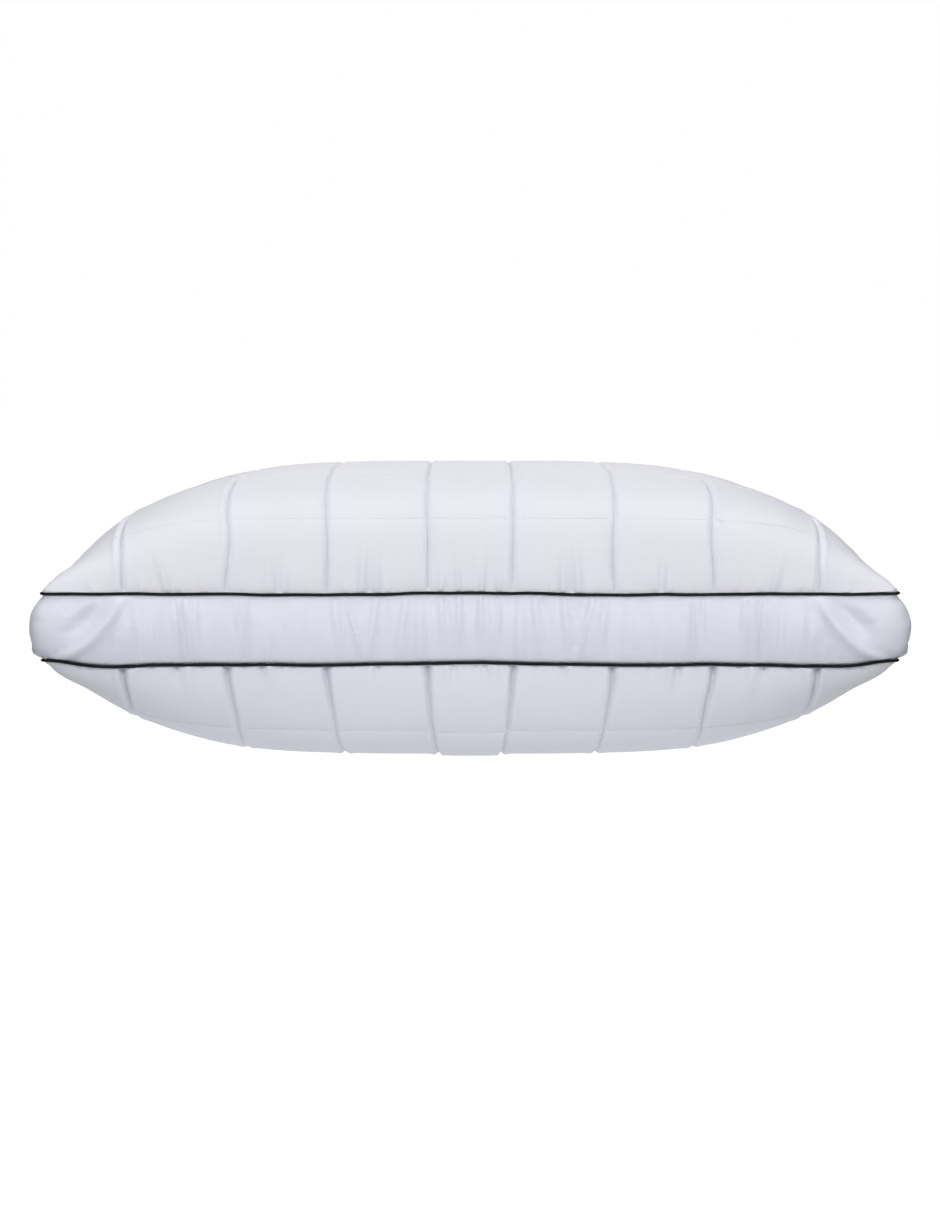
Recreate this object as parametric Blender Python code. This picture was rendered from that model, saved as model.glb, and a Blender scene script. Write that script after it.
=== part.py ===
"""A bed pillow: two quilted panels, a plain gusset between two corded pipings, and loose fibre inside.

The pillow lies flat, its length along X and its depth along Y, and Z = 0 is the surface it rests on.
"""

import collections
import math

import bmesh
import bpy
import numpy as np

# Sewn sizes of the cloth, in metres: between seams on the panels, between pipings on the gusset.
PANEL_LENGTH = 0.660
PANEL_DEPTH = 0.508
GUSSET_WIDTH = 0.051

# The quilting, as straight lines of stitches across each panel.
CENTRE_COLUMN = 0.065
COLUMN_PITCH = 0.0765
CENTRE_ROW = 0.0762
ROW_PITCH = 0.0762
NARROWEST_EDGE_CELL = 0.025
STITCH_RECESS = 0.002

# Thicknesses of the layers, and the gap between one layer and the next.
FACE_CLOTH = 0.0005
WADDING = 0.003
BACKING = 0.0004
GUSSET_CLOTH = 0.0005
GAP = 0.0003

# The piping: a filler cord in a folded strip of cloth, whose two legs are sewn into the seam.
CORD_DIAMETER = 0.0016
CORD_CLEARANCE = 0.0003
COVER_CLOTH = 0.0004
SEAM_ALLOWANCE = 0.005

# The filled form. The filling draws the sides in and swells the panels and the gusset.
LONG_SIDE_PULL_IN = 0.035
SHORT_SIDE_PULL_IN = 0.034
CORNER_ROUNDING = 0.009
TOP_CROWN = 0.0930
BOTTOM_CROWN = 0.1018
BOTTOM_SEAM_HEIGHT = 0.0838
GUSSET_BULGE = 0.009

# How the form is drawn: the fullness of each curve and the number of facets.
CORNER_TIGHTNESS = 14
SETTLING = 0.012
GUSSET_FACETS = 4
BULB_FACETS = 6
CORD_FACETS = 6
ARC_SAMPLES = np.linspace(0, 1, 200)

PIPING_RADIUS = CORD_DIAMETER / 2 + CORD_CLEARANCE + COVER_CLOTH
TOP_SEAM_HEIGHT = BOTTOM_SEAM_HEIGHT + GUSSET_WIDTH + 2 * PIPING_RADIUS
RIM_LIFT = GAP / 2 + COVER_CLOTH + GAP

# Depth of each layer's two faces below the outside of the panel.
WADDING_DEPTH = FACE_CLOTH + GAP
BACKING_DEPTH = WADDING_DEPTH + WADDING + GAP
FILL_DEPTH = max(BACKING_DEPTH + BACKING, SEAM_ALLOWANCE) + GAP

Side = collections.namedtuple("Side", "name up seam_height crown fullness roundness settled")
TOP = Side("top", 1, TOP_SEAM_HEIGHT + RIM_LIFT, TOP_CROWN, 4.1, 0.5, False)
BOTTOM = Side("bottom", -1, BOTTOM_SEAM_HEIGHT - RIM_LIFT, BOTTOM_CROWN, 2.8, 0.55, True)


def clear_scene():
    for obj in list(bpy.data.objects):
        bpy.data.objects.remove(obj)


def grid_shares(length, centre, pitch):
    """Shares of the half length, from -1 to 1: the stitch lines and the edges, and the middles between."""
    half = length / 2
    count = int((half - NARROWEST_EDGE_CELL - centre / 2) / pitch) + 1
    sewn = [centre / 2 + pitch * i for i in range(count)]
    stops = [-half, *(-place for place in reversed(sewn)), *sewn, half]
    shares = [-1.0]
    for start, end in zip(stops, stops[1:]):
        shares += [(start + end) / 2 / half, end / half]
    return shares


COLUMNS = grid_shares(PANEL_LENGTH, CENTRE_COLUMN, COLUMN_PITCH)
ROWS = grid_shares(PANEL_DEPTH, CENTRE_ROW, ROW_PITCH)


def form_point(side, s, t):
    """A point of the filled panel, before it settles. s runs along the length and t along the depth."""
    rounding = CORNER_ROUNDING * np.abs(s * t) ** CORNER_TIGHTNESS
    x = s * (PANEL_LENGTH / 2 - SHORT_SIDE_PULL_IN * (1 - t * t)) - np.sign(s) * rounding
    y = t * (PANEL_DEPTH / 2 - LONG_SIDE_PULL_IN * (1 - s * s)) - np.sign(t) * rounding
    swell = (1 - np.abs(s) ** side.fullness) * (1 - np.abs(t) ** side.fullness)
    z = side.seam_height + side.up * side.crown * np.maximum(swell, 0) ** side.roundness
    return np.stack(np.broadcast_arrays(x, y, z), axis=-1)


def even_share(side, share, other, along_length):
    """The form's share at which this share of the cloth's own length lies, because cloth keeps its length."""
    if along_length:
        curve = form_point(side, ARC_SAMPLES, other)
    else:
        curve = form_point(side, other, ARC_SAMPLES)
    lengths = np.append(0, np.cumsum(np.linalg.norm(np.diff(curve, axis=0), axis=1)))
    return math.copysign(np.interp(abs(share) * lengths[-1], lengths, ARC_SAMPLES), share)


def form_grid(side):
    """The panel's outer form at every crossing of COLUMNS and ROWS."""
    s, t = np.meshgrid(COLUMNS, ROWS, indexing="ij")
    for _ in range(3):
        before = s.copy(), t.copy()
        for i, j in np.ndindex(s.shape):
            s[i, j] = even_share(side, COLUMNS[i], before[1][i, j], True)
            t[i, j] = even_share(side, ROWS[j], before[0][i, j], False)
    return form_point(side, s, t)


def rim_indices():
    """Grid indices round the panel's edge, anticlockwise seen from above."""
    last_i, last_j = len(COLUMNS) - 1, len(ROWS) - 1
    front = [(i, 0) for i in range(last_i)]
    right = [(last_i, j) for j in range(last_j)]
    back = [(i, last_j) for i in range(last_i, 0, -1)]
    left = [(0, j) for j in range(last_j, 0, -1)]
    return tuple(np.array(front + right + back + left).T)


RIM = rim_indices()


def outward_directions(loop):
    """Horizontal outward direction at each point of a loop, mitred so that offset edges stay parallel."""
    edges = np.roll(loop, -1, axis=0) - loop
    normals = np.stack([edges[:, 1], -edges[:, 0]], axis=1)
    normals /= np.linalg.norm(normals, axis=1, keepdims=True)
    mitre = normals + np.roll(normals, 1, axis=0)
    return 2 * mitre / np.sum(mitre * mitre, axis=1, keepdims=True)


SEAM_LINE = form_grid(TOP)[RIM][:, :2]
SEAM_OUTWARD = outward_directions(SEAM_LINE)


def form_normals(side, grid):
    """Outward unit normals of a panel's form. At its rim they lie flat, square to the seam."""
    along = np.gradient(grid, axis=0)
    across = np.gradient(grid, axis=1)
    normals = side.up * np.cross(along, across)
    normals /= np.linalg.norm(normals, axis=-1, keepdims=True)
    normals[RIM] = np.column_stack([SEAM_OUTWARD, np.zeros(len(SEAM_OUTWARD))])
    return normals


def settle(height):
    """Heights under SETTLING bend over into the flat that the pillow rests on."""
    bent = (height + SETTLING) ** 2 / (4 * SETTLING)
    return np.where(height > SETTLING, height, np.where(height < -SETTLING, 0, bent))


def panel_face(side, depth, quilted=False):
    """One face of a layer, this deep below the panel's form. A quilted face dips at its stitch lines."""
    form = form_grid(side)
    depths = np.full(form.shape[:2], float(depth))
    if quilted:
        depths[2:-2:2, 1:-1] = depth + STITCH_RECESS
        depths[1:-1, 2:-2:2] = depth + STITCH_RECESS
    face = form - form_normals(side, form) * depths[..., None]
    if side.settled:
        face[..., 2] = depth + settle(face[..., 2] - depth)
    return face


def cloth_material(name, colour, roughness):
    material = bpy.data.materials.new(name)
    material.use_nodes = True
    shader = material.node_tree.nodes["Principled BSDF"]
    shader.inputs["Base Color"].default_value = (*colour, 1)
    shader.inputs["Roughness"].default_value = roughness
    shader.inputs["Metallic"].default_value = 0
    return material


def add_piece(name, points, faces, colour, roughness):
    """Makes a closed mesh object with its faces pointing out, under the pillow's empty."""
    bm = bmesh.new()
    verts = [bm.verts.new(point) for point in points]
    for face in faces:
        bm.faces.new([verts[i] for i in face])
    bmesh.ops.recalc_face_normals(bm, faces=bm.faces)
    mesh = bpy.data.meshes.new(name)
    bm.to_mesh(mesh)
    bm.free()
    mesh.shade_smooth()
    mesh.set_sharp_from_angle(angle=math.radians(50))
    mesh.materials.append(cloth_material(name, colour, roughness))
    piece = bpy.data.objects.new(name, mesh)
    piece.parent = PILLOW
    bpy.context.collection.objects.link(piece)


def grid_triangles(first):
    """Triangles over a grid of points numbered from first, with diagonals out of each cell's middle."""
    rows = len(ROWS)
    triangles = []
    for i in range(len(COLUMNS) - 1):
        for j in range(rows - 1):
            a, b = first + i * rows + j, first + (i + 1) * rows + j
            if (i + j) % 2 == 0:
                triangles += [(a, b, b + 1), (a, b + 1, a + 1)]
            else:
                triangles += [(a, b, a + 1), (b, b + 1, a + 1)]
    return triangles


def rim_numbers(first):
    return [int(first + i * len(ROWS) + j) for i, j in zip(*RIM)]


def band_triangles(lower, upper):
    """Triangles between two loops of point numbers."""
    triangles = []
    for k in range(len(lower)):
        n = (k + 1) % len(lower)
        triangles += [(lower[k], lower[n], upper[n]), (lower[k], upper[n], upper[k])]
    return triangles


def add_layer(name, side, outer, inner, colour, roughness):
    """A sheet between two faces of a panel, closed round its rim."""
    points = np.concatenate([outer.reshape(-1, 3), inner.reshape(-1, 3)])
    second = len(points) // 2
    faces = grid_triangles(0) + [face[::-1] for face in grid_triangles(second)]
    faces += band_triangles(rim_numbers(second), rim_numbers(0))
    add_piece(f"{side.name}_panel_{name}", points, faces, colour, roughness)


def add_panel(side):
    """Face cloth, wadding and backing, which the quilting holds together."""
    shell_inner = panel_face(side, FACE_CLOTH, quilted=True)
    wadding_outer = panel_face(side, WADDING_DEPTH, quilted=True)
    wadding_inner = panel_face(side, WADDING_DEPTH + WADDING)
    backing_outer = panel_face(side, BACKING_DEPTH)
    backing_inner = panel_face(side, BACKING_DEPTH + BACKING)
    shell_outer = panel_face(side, 0, quilted=True)
    add_layer("shell", side, shell_outer, shell_inner, (0.85, 0.85, 0.88), 0.8)
    add_layer("wadding", side, wadding_outer, wadding_inner, (0.88, 0.88, 0.87), 0.95)
    add_layer("backing", side, backing_outer, backing_inner, (0.80, 0.80, 0.80), 0.9)


def seam_ring(outward, height):
    """A loop that follows the seam, this far outside it and at this height."""
    plan = SEAM_LINE + SEAM_OUTWARD * outward
    return np.column_stack([plan, np.full(len(plan), height)])


def add_ring(name, profile, colour, roughness):
    """Sweeps a closed outline of (outward, height) points along the whole seam."""
    points = np.concatenate([seam_ring(*point) for point in profile])
    size = len(SEAM_LINE)
    loops = [list(range(size * k, size * (k + 1))) for k in range(len(profile))]
    faces = []
    for loop, following in zip(loops, loops[1:] + loops[:1]):
        faces += band_triangles(loop, following)
    add_piece(name, points, faces, colour, roughness)


def gusset_profile(inset):
    """The bulged line of the gusset from its lower to its upper rim, this far inside its outer face."""
    middle = (TOP_SEAM_HEIGHT + BOTTOM_SEAM_HEIGHT) / 2
    reach = TOP_SEAM_HEIGHT - RIM_LIFT - middle
    shares = np.linspace(-1, 1, GUSSET_FACETS + 1)
    return [(GUSSET_BULGE * (1 - w * w) - inset, middle + reach * w) for w in shares]


def add_gusset():
    profile = gusset_profile(0) + gusset_profile(GUSSET_CLOTH)[::-1]
    add_ring("gusset_band", profile, (0.82, 0.83, 0.87), 0.75)


def bulb_arc(radius, leg_height, height):
    """Points round the piping's bulb, from its lower leg over the outside to its upper leg."""
    mouth = math.pi - math.asin(leg_height / radius)
    angles = np.linspace(-mouth, mouth, BULB_FACETS + 1)
    middle = PIPING_RADIUS + GAP
    return [(middle + radius * math.cos(a), height + radius * math.sin(a)) for a in angles]


def add_piping(side_name, height):
    """The cord, and the strip folded round it with its two legs in the seam."""
    slit = GAP / 2
    leg = slit + COVER_CLOTH
    outer = bulb_arc(PIPING_RADIUS, leg, height)
    inner = bulb_arc(PIPING_RADIUS - COVER_CLOTH, slit, height)
    upper_end = [(-SEAM_ALLOWANCE, height + leg), (-SEAM_ALLOWANCE, height + slit)]
    lower_end = [(-SEAM_ALLOWANCE, height - slit), (-SEAM_ALLOWANCE, height - leg)]
    cover = outer + upper_end + inner[::-1] + lower_end
    add_ring(f"{side_name}_piping_cover", cover, (0.01, 0.01, 0.012), 0.45)
    turns = [2 * math.pi * k / CORD_FACETS for k in range(CORD_FACETS)]
    middle, radius = PIPING_RADIUS + GAP, CORD_DIAMETER / 2
    cord = [(middle + radius * math.cos(a), height + radius * math.sin(a)) for a in turns]
    add_ring(f"{side_name}_piping_cord", cord, (0.75, 0.74, 0.70), 0.9)


def add_fill():
    """The loose fibre as one mass, which fills the panels and presses the gusset out."""
    top, bottom = panel_face(TOP, FILL_DEPTH), panel_face(BOTTOM, FILL_DEPTH)
    sides = gusset_profile(GUSSET_CLOTH + GAP)[1:-1]
    sides = [(-FILL_DEPTH, BOTTOM_SEAM_HEIGHT + RIM_LIFT), *sides, (-FILL_DEPTH, TOP_SEAM_HEIGHT - RIM_LIFT)]
    rings = [seam_ring(*point) for point in sides]
    points = np.concatenate([bottom.reshape(-1, 3), top.reshape(-1, 3), *rings])
    grid_size, ring_size = bottom.shape[0] * bottom.shape[1], len(SEAM_LINE)
    loops = [rim_numbers(0)]
    for k in range(len(rings)):
        start = 2 * grid_size + k * ring_size
        loops.append(list(range(start, start + ring_size)))
    loops.append(rim_numbers(grid_size))
    faces = [face[::-1] for face in grid_triangles(0)] + grid_triangles(grid_size)
    for lower, upper in zip(loops, loops[1:]):
        faces += band_triangles(lower, upper)
    add_piece("fibre_fill", points, faces, (0.9, 0.9, 0.9), 1.0)


clear_scene()
PILLOW = bpy.data.objects.new("pillow", None)
bpy.context.collection.objects.link(PILLOW)
for panel_side in (TOP, BOTTOM):
    add_panel(panel_side)
add_gusset()
add_piping("top", TOP_SEAM_HEIGHT)
add_piping("bottom", BOTTOM_SEAM_HEIGHT)
add_fill()
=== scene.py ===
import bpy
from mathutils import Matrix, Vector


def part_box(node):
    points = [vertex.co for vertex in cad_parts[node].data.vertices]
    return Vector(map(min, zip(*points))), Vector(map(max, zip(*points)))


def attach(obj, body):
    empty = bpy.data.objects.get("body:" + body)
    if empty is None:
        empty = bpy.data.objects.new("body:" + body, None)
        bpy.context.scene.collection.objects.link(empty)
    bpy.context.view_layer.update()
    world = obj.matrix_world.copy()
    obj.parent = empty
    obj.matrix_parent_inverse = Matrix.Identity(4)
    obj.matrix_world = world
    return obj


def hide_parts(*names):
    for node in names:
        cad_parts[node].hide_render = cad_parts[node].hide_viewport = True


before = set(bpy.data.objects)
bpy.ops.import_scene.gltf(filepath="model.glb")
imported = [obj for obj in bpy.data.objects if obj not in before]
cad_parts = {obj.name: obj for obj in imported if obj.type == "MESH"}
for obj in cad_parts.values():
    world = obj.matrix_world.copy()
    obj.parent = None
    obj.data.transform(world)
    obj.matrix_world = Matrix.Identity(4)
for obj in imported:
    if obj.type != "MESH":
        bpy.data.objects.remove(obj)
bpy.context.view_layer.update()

import math
from collections import namedtuple

import bpy
import numpy as np

# ---------------------------------------------------------------------------------------------
# Camera. A long lens looks straight at the pillow's long side from a little above, so that both
# pipings run level and the top panel is seen as far as its crown.
CAMERA_DISTANCE = 2.217
CAMERA_HEIGHT = 0.292
CAMERA_PITCH = 0.0824
SENSOR_WIDTH = 36.0
LENS = 100.34

camera_data = bpy.data.cameras.new("camera")
camera_data.sensor_fit = "HORIZONTAL"
camera_data.sensor_width = SENSOR_WIDTH
camera_data.lens = LENS
camera = bpy.data.objects.new("camera", camera_data)
camera.location = (0, -CAMERA_DISTANCE, CAMERA_HEIGHT)
camera.rotation_euler = (math.pi / 2 - CAMERA_PITCH, 0, 0)
bpy.context.scene.collection.objects.link(camera)
bpy.context.scene.camera = camera
bpy.context.scene.view_settings.view_transform = "Standard"

# ---------------------------------------------------------------------------------------------
# Floor and studio light. The floor is a white table that throws a pool of light back up near the
# pillow. One large softbox hangs overhead, one stands in front, a weak one behind and two narrow
# strips at the sides, in a pale room that is darker towards its sides.
FLOOR_SIZE = 30.0
FLOOR_DROP = 0.0003
FLOOR_GLOW = 1.0
FLOOR_WHITE = (0.16, 0.16, 0.16)
FLOOR_BOUNCE = (0.955, 0.975, 1.0)
POOL_EDGES = (0.25, 0.8)
POOL_LEVELS = (0.76, 0.10)
ROOM_COLOUR = (0.98, 0.987, 1.0)
ROOM_EDGES = (0.2, 1.0)
ROOM_LEVELS = (0.31, 0.13)
WHOLE_FAN = 180
STRIP_FAN = 70


def add_node(tree, kind, sockets, **settings):
    """A new node. Each of its sockets takes a plain value, or the output that feeds it."""
    node = tree.nodes.new(kind)
    for name, value in settings.items():
        setattr(node, name, value)
    for name, value in sockets.items():
        if isinstance(value, bpy.types.NodeSocket):
            tree.links.new(value, node.inputs[name])
        else:
            node.inputs[name].default_value = value
    return node


def add_ramp(tree, value, edges, levels, **settings):
    """A level that goes from the first to the second as a value goes between two edges."""
    sockets = {"Value": value, "From Min": edges[0], "From Max": edges[1],
               "To Min": levels[0], "To Max": levels[1]}
    return add_node(tree, "ShaderNodeMapRange", sockets, **settings).outputs["Result"]


def end_tree(tree, kind, lit, seen):
    """Ends a tree in one shader for the light it gives and another for how it is seen."""
    path = add_node(tree, "ShaderNodeLightPath", {})
    mix = add_node(tree, "ShaderNodeMixShader", {0: path.outputs["Is Camera Ray"], 1: lit, 2: seen})
    add_node(tree, kind, {"Surface": mix.outputs[0]})


half_floor = FLOOR_SIZE / 2
floor_mesh = bpy.data.meshes.new("floor")
floor_mesh.from_pydata(
    [(half_floor * x, half_floor * y, -FLOOR_DROP) for x, y in ((-1, -1), (1, -1), (1, 1), (-1, 1))],
    [], [(0, 1, 2, 3)])
floor = bpy.data.objects.new("floor", floor_mesh)
bpy.context.scene.collection.objects.link(floor)
floor_paint = bpy.data.materials.new("white_table")
floor_paint.use_nodes = True
table = floor_paint.node_tree
table.nodes.clear()
table_place = add_node(table, "ShaderNodeTexCoord", {})
table_reach = add_node(table, "ShaderNodeVectorMath", {0: table_place.outputs["Object"]}, operation="LENGTH")
table_pool = add_ramp(
    table, table_reach.outputs["Value"], POOL_EDGES, POOL_LEVELS, interpolation_type="SMOOTHSTEP")
table_bounce = add_node(table, "ShaderNodeEmission", {"Color": (*FLOOR_BOUNCE, 1), "Strength": table_pool})
table_glow = add_node(table, "ShaderNodeEmission", {"Strength": FLOOR_GLOW})
table_white = add_node(table, "ShaderNodeBsdfDiffuse", {"Color": (*FLOOR_WHITE, 1)})
table_sum = add_node(table, "ShaderNodeAddShader", {0: table_glow.outputs[0], 1: table_white.outputs[0]})
end_tree(table, "ShaderNodeOutputMaterial", table_bounce.outputs[0], table_sum.outputs[0])
floor_mesh.materials.append(floor_paint)

world = bpy.data.worlds.new("studio")
world.use_nodes = True
bpy.context.scene.world = world
room = world.node_tree
room.nodes.clear()
room_place = add_node(room, "ShaderNodeTexCoord", {})
room_axes = add_node(room, "ShaderNodeSeparateXYZ", {0: room_place.outputs["Generated"]})
room_sideways = add_node(room, "ShaderNodeMath", {0: room_axes.outputs["X"]}, operation="ABSOLUTE")
room_level = add_ramp(room, room_sideways.outputs[0], ROOM_EDGES, ROOM_LEVELS)
room_light = add_node(room, "ShaderNodeBackground", {"Color": (*ROOM_COLOUR, 1), "Strength": room_level})
room_seen = add_node(room, "ShaderNodeBackground", {"Color": (1, 1, 1, 1), "Strength": 1.0})
end_tree(room, "ShaderNodeOutputWorld", room_light.outputs[0], room_seen.outputs[0])


def softbox(name, place, aim, width, height, power, fan):
    """A rectangular area light at a place, aimed at a point, that fans out by so many degrees."""
    light = bpy.data.lights.new(name, "AREA")
    light.shape = "RECTANGLE"
    light.size = width
    light.size_y = height
    light.energy = power
    light.spread = math.radians(fan)
    box = bpy.data.objects.new(name, light)
    box.location = place
    direction = np.array(aim, float) - np.array(place, float)
    flat = math.hypot(direction[0], direction[1])
    box.rotation_euler = (math.atan2(flat, -direction[2]), 0, math.atan2(-direction[0], direction[1]))
    bpy.context.scene.collection.objects.link(box)


# Each is (name, place, aim, width, height, power, fan).
for one_box in (
    ("overhead_softbox", (0, 0.2, 1.7), (0, 0, 0.1), 2.0, 1.2, 15.7, WHOLE_FAN),
    ("front_softbox", (0, -1.05, 0.46), (0, -0.2, 0.12), 0.5, 0.3, 4.2, WHOLE_FAN),
    ("back_softbox", (0, 1.3, 0.75), (0, 0.15, 0.14), 1.0, 0.4, 2.0, WHOLE_FAN),
    ("left_strip", (-0.66, -0.58, 0.34), (-0.17, -0.2, 0.12), 0.12, 0.4, 0.13, STRIP_FAN),
    ("right_strip", (0.66, -0.58, 0.34), (0.17, -0.2, 0.12), 0.12, 0.4, 0.13, STRIP_FAN),
):
    softbox(*one_box)

# ---------------------------------------------------------------------------------------------
# The two panels' face cloth. Each is one rectangle of white cotton, quilted to a thin wadding in
# straight lines, and sewn into the piping seam all round. The filling crowns it and draws its
# sides in, which leaves a little spare cloth along the seams that stands up in small puckers.
CORNER_ROUNDING = 0.009
CORNER_TIGHTNESS = 14
LONG_SIDE_PULL_IN = 0.035
SHORT_SIDE_PULL_IN = 0.034
RIM_LIFT = 0.00085
SETTLING = 0.012
BOTTOM_CROWN = 0.1018
QUILT_COLUMNS = (0.0325, 0.109, 0.1855, 0.262)
QUILT_ROWS = (0.0381, 0.1143, 0.1905)
FACE_CLOTH = 0.0005
GAP = 0.0003
WADDING = 0.003
BACKING = 0.0004
SIMULATION_STEPS = 16
DETAIL_OFFSETS = (0.0005, 0.0011, 0.0019, 0.0030, 0.0045)
KEPT_OFFSETS = (False, True, False, True, False)
COLUMN_STEPS = 46
ROW_STEPS = 14
KEPT_PLAIN = 3

shell_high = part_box("top_panel_shell")[1]
TOP_SEAM = sum(corner.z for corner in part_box("top_piping_cover")) / 2
BOTTOM_SEAM = sum(corner.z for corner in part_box("bottom_piping_cover")) / 2
HALF_LENGTH = shell_high.x + CORNER_ROUNDING
HALF_DEPTH = shell_high.y + CORNER_ROUNDING

Panel = namedtuple("Panel", "name up seam crown fullness roundness settled")
TOP = Panel(
    "top", up=1, seam=TOP_SEAM + RIM_LIFT, crown=shell_high.z - TOP_SEAM - RIM_LIFT,
    fullness=4.1, roundness=0.5, settled=False)
BOTTOM = Panel(
    "bottom", up=-1, seam=BOTTOM_SEAM - RIM_LIFT, crown=BOTTOM_CROWN,
    fullness=3.0, roundness=0.55, settled=True)


def form_point(panel, s, t):
    """A point of the filled panel. s runs along the length and t along the depth, from -1 to 1."""
    rounding = CORNER_ROUNDING * np.abs(s * t) ** CORNER_TIGHTNESS
    x = s * (HALF_LENGTH - SHORT_SIDE_PULL_IN * (1 - t * t)) - np.sign(s) * rounding
    y = t * (HALF_DEPTH - LONG_SIDE_PULL_IN * (1 - s * s)) - np.sign(t) * rounding
    swell = (1 - np.abs(s) ** panel.fullness) * (1 - np.abs(t) ** panel.fullness)
    z = panel.seam + panel.up * panel.crown * np.maximum(swell, 0) ** panel.roundness
    return np.stack(np.broadcast_arrays(x, y, z), axis=-1)


TABLE_SIZE = 301
quarter = np.linspace(0, 1, TABLE_SIZE)
fine_shares = np.sin(quarter * math.pi / 2)


def arc_table(panel, along_length):
    """Form shares against the cloth's own shares. Each row is one line of the cloth."""
    if along_length:
        curves = form_point(panel, fine_shares[None, :], fine_shares[:, None])
    else:
        curves = form_point(panel, fine_shares[:, None], fine_shares[None, :])
    steps = np.linalg.norm(np.diff(curves, axis=1), axis=2)
    lengths = np.hstack([np.zeros((TABLE_SIZE, 1)), np.cumsum(steps, axis=1)])
    return np.array([np.interp(quarter * row[-1], row, fine_shares) for row in lengths])


def read_table(table, line, share):
    """Reads an arc table at the form share of the line and the cloth share along it."""
    row = np.clip(np.arcsin(np.clip(np.abs(line), 0, 1)) * 2 / math.pi, 0, 1) * (TABLE_SIZE - 1)
    column = np.clip(np.abs(share), 0, 1) * (TABLE_SIZE - 1)
    i = np.minimum(row.astype(int), TABLE_SIZE - 2)
    j = np.minimum(column.astype(int), TABLE_SIZE - 2)
    f, g = row - i, column - j
    low = table[i, j] * (1 - g) + table[i, j + 1] * g
    high = table[i + 1, j] * (1 - g) + table[i + 1, j + 1] * g
    return np.sign(share) * (low * (1 - f) + high * f)


arc_tables = {side.name: (arc_table(side, True), arc_table(side, False)) for side in (TOP, BOTTOM)}


def cloth_on_form(panel, a, b):
    """Where the cloth's shares a along the length and b along the depth lie on the form."""
    a, b = np.broadcast_arrays(np.asarray(a, float), np.asarray(b, float))
    table_s, table_t = arc_tables[panel.name]
    s, t = a, b
    for _ in range(4):
        s, t = read_table(table_s, t, a), read_table(table_t, s, b)
    return form_point(panel, s, t)


# The seam line. Its corners are eased as a sewn corner is, it waves a little between the quilting
# lines, and at the corners the two seams are drawn towards each other.
LOOP_SIZE = 1600
CORNER_EASING = 14
CORNER_EAR = 0.0016
CORNER_EAR_REACH = 0.02
SEAM_WAVE = 0.0006
SEAM_WAVE_LENGTH = 0.218
SEAM_KINK = 0.00018
KINK_LENGTHS = (0.047, 0.053, 0.083)
SEAM_PHASES = {"top": 0.9, "bottom": 2.6}
CORNER_REACH = {"top": 0.070, "bottom": 0.024}
CORNER_SHIFT = {"top": 0.0024, "bottom": 0.0058}
SEAM_FADE = 0.030
CORNER_TUCK = {"top": 0.0066, "bottom": 0.0046}
TUCK_PLACE = 0.036
TUCK_WIDTH = 0.040
TUCK_START = 0.008
ROW_SAG = {"top": 0.0055, "bottom": 0.0}
SAG_WIDTH = 0.036
DRIFT_PLACES = (0, 0.0325, 0.070, 0.109, 0.150, 0.1855, 0.230, 0.262, 0.330)
DRIFT = (0, 0.0083, 0.0104, 0.0108, 0.0096, 0.0080, 0.0070, 0.0060, 0)
DRIFT_DEPTH = 0.083
DRIFT_GROWTH = 2.2
SPREAD_PLACES = (0, 0.0325, 0.109, 0.1855, 0.262, 0.310, 0.330)
SPREAD = (0, 0.0008, 0.0030, 0.0045, 0.0082, 0.0030, 0)
SPREAD_REACH = 0.028
GATHER_PLACES = (0, 0.0325, 0.109, 0.1855, 0.262, 0.330)
GATHER = (0, 0.0005, 0.0022, 0.0060, 0.0020, 0)
GATHER_REACH = 0.055
CONTACT_EASE = 0.0018
CONTACT_X = (0.022, 0.02)
CONTACT_Y = (0.05, 0.06)
LAST_ON_LOOP = 3.99999

loop_share = np.arange(LOOP_SIZE) * 4 / LOOP_SIZE


def rim_shares(loop):
    """The cloth shares of a point on the rim. Loop runs from 0 to 4, one for each side in turn."""
    side, part = np.floor(loop).astype(int) % 4, loop % 1 * 2 - 1
    one = np.ones_like(part)
    a = np.choose(side, [part, one, -part, -one])
    b = np.choose(side, [-one, part, one, -part])
    return a, b


raw_loop = cloth_on_form(TOP, *rim_shares(loop_share))[:, :2]
eased_loop = raw_loop.copy()
for _ in range(CORNER_EASING):
    eased_loop = (np.roll(eased_loop, 1, 0) + 2 * eased_loop + np.roll(eased_loop, -1, 0)) / 4

corner_plan = np.abs(eased_loop[LOOP_SIZE // 4])
ear = np.hypot(*(np.abs(eased_loop) - corner_plan).T)
ear = CORNER_EAR * np.exp(-((ear / CORNER_EAR_REACH) ** 2))[:, None]
eared_loop = eased_loop + ear * np.sign(eased_loop)


def seam_rise(side_name, plan):
    """How far the seam lies above its mean height at these plan points."""
    x, y = plan[:, 0], plan[:, 1]
    turn = 2 * math.pi
    wave = SEAM_WAVE * np.cos(turn * x / SEAM_WAVE_LENGTH) * np.cos(turn * y / SEAM_WAVE_LENGTH)
    phase = SEAM_PHASES[side_name]
    length_x, length_y, slanting = KINK_LENGTHS
    kink = SEAM_KINK * np.sin(turn * x / length_x + phase) * np.cos(turn * y / length_y + phase)
    kink += SEAM_KINK * np.sin(turn * (x + y) / slanting + 2 * phase)
    distance = np.hypot(np.abs(x) - corner_plan[0], np.abs(y) - corner_plan[1])
    near = np.exp(-((distance / CORNER_REACH[side_name]) ** 2))
    return wave + kink + CORNER_SHIFT[side_name] * near


def rim_shift(panel):
    """The seam line's departure from the plain form, all round, as three columns."""
    rise = seam_rise(panel.name, eared_loop)
    return np.column_stack([eared_loop - raw_loop, rise])


rim_shifts = {side.name: rim_shift(side) for side in (TOP, BOTTOM)}


def read_loop(values, loop):
    """Reads columns of values that run round the seam."""
    columns = [np.interp(loop, loop_share, column, period=4) for column in values.T]
    return np.stack(columns, axis=-1)


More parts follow.
